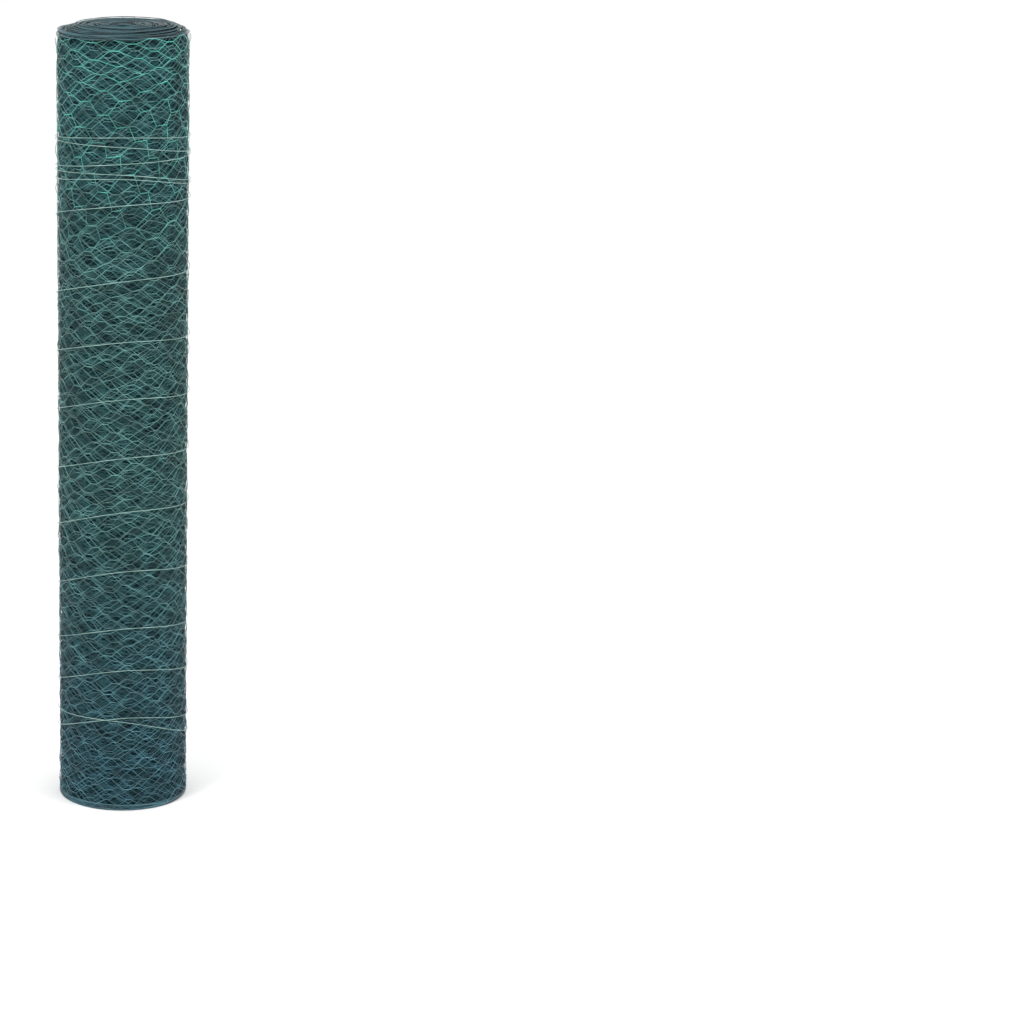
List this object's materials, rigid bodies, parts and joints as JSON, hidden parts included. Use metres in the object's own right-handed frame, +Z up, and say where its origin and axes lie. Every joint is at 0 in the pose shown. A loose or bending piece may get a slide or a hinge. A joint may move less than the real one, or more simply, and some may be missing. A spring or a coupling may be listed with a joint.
{
  "type": "roll of hexagonal wire netting",
  "caption": "Upright roll of green plastic coated hexagonal wire netting, wound around an open bore and held shut by a thin zinc coated binding wire.",
  "frame": {"origin": "middle of the roll's foot, on the surface it stands on", "axes": "+Z up along the roll's axis, -Y towards the viewer of the picture's front side, +X to the viewer's right"},
  "size_m": [0.2538, 0.2539, 1.5],
  "materials": {
    "netting": "satin green plastic coat on steel wire",
    "binding": "dull zinc coat"
  },
  "bodies": {
    "root": {"netting_roll": "netting", "binding_wire": "binding"}
  },
  "joints": []
}
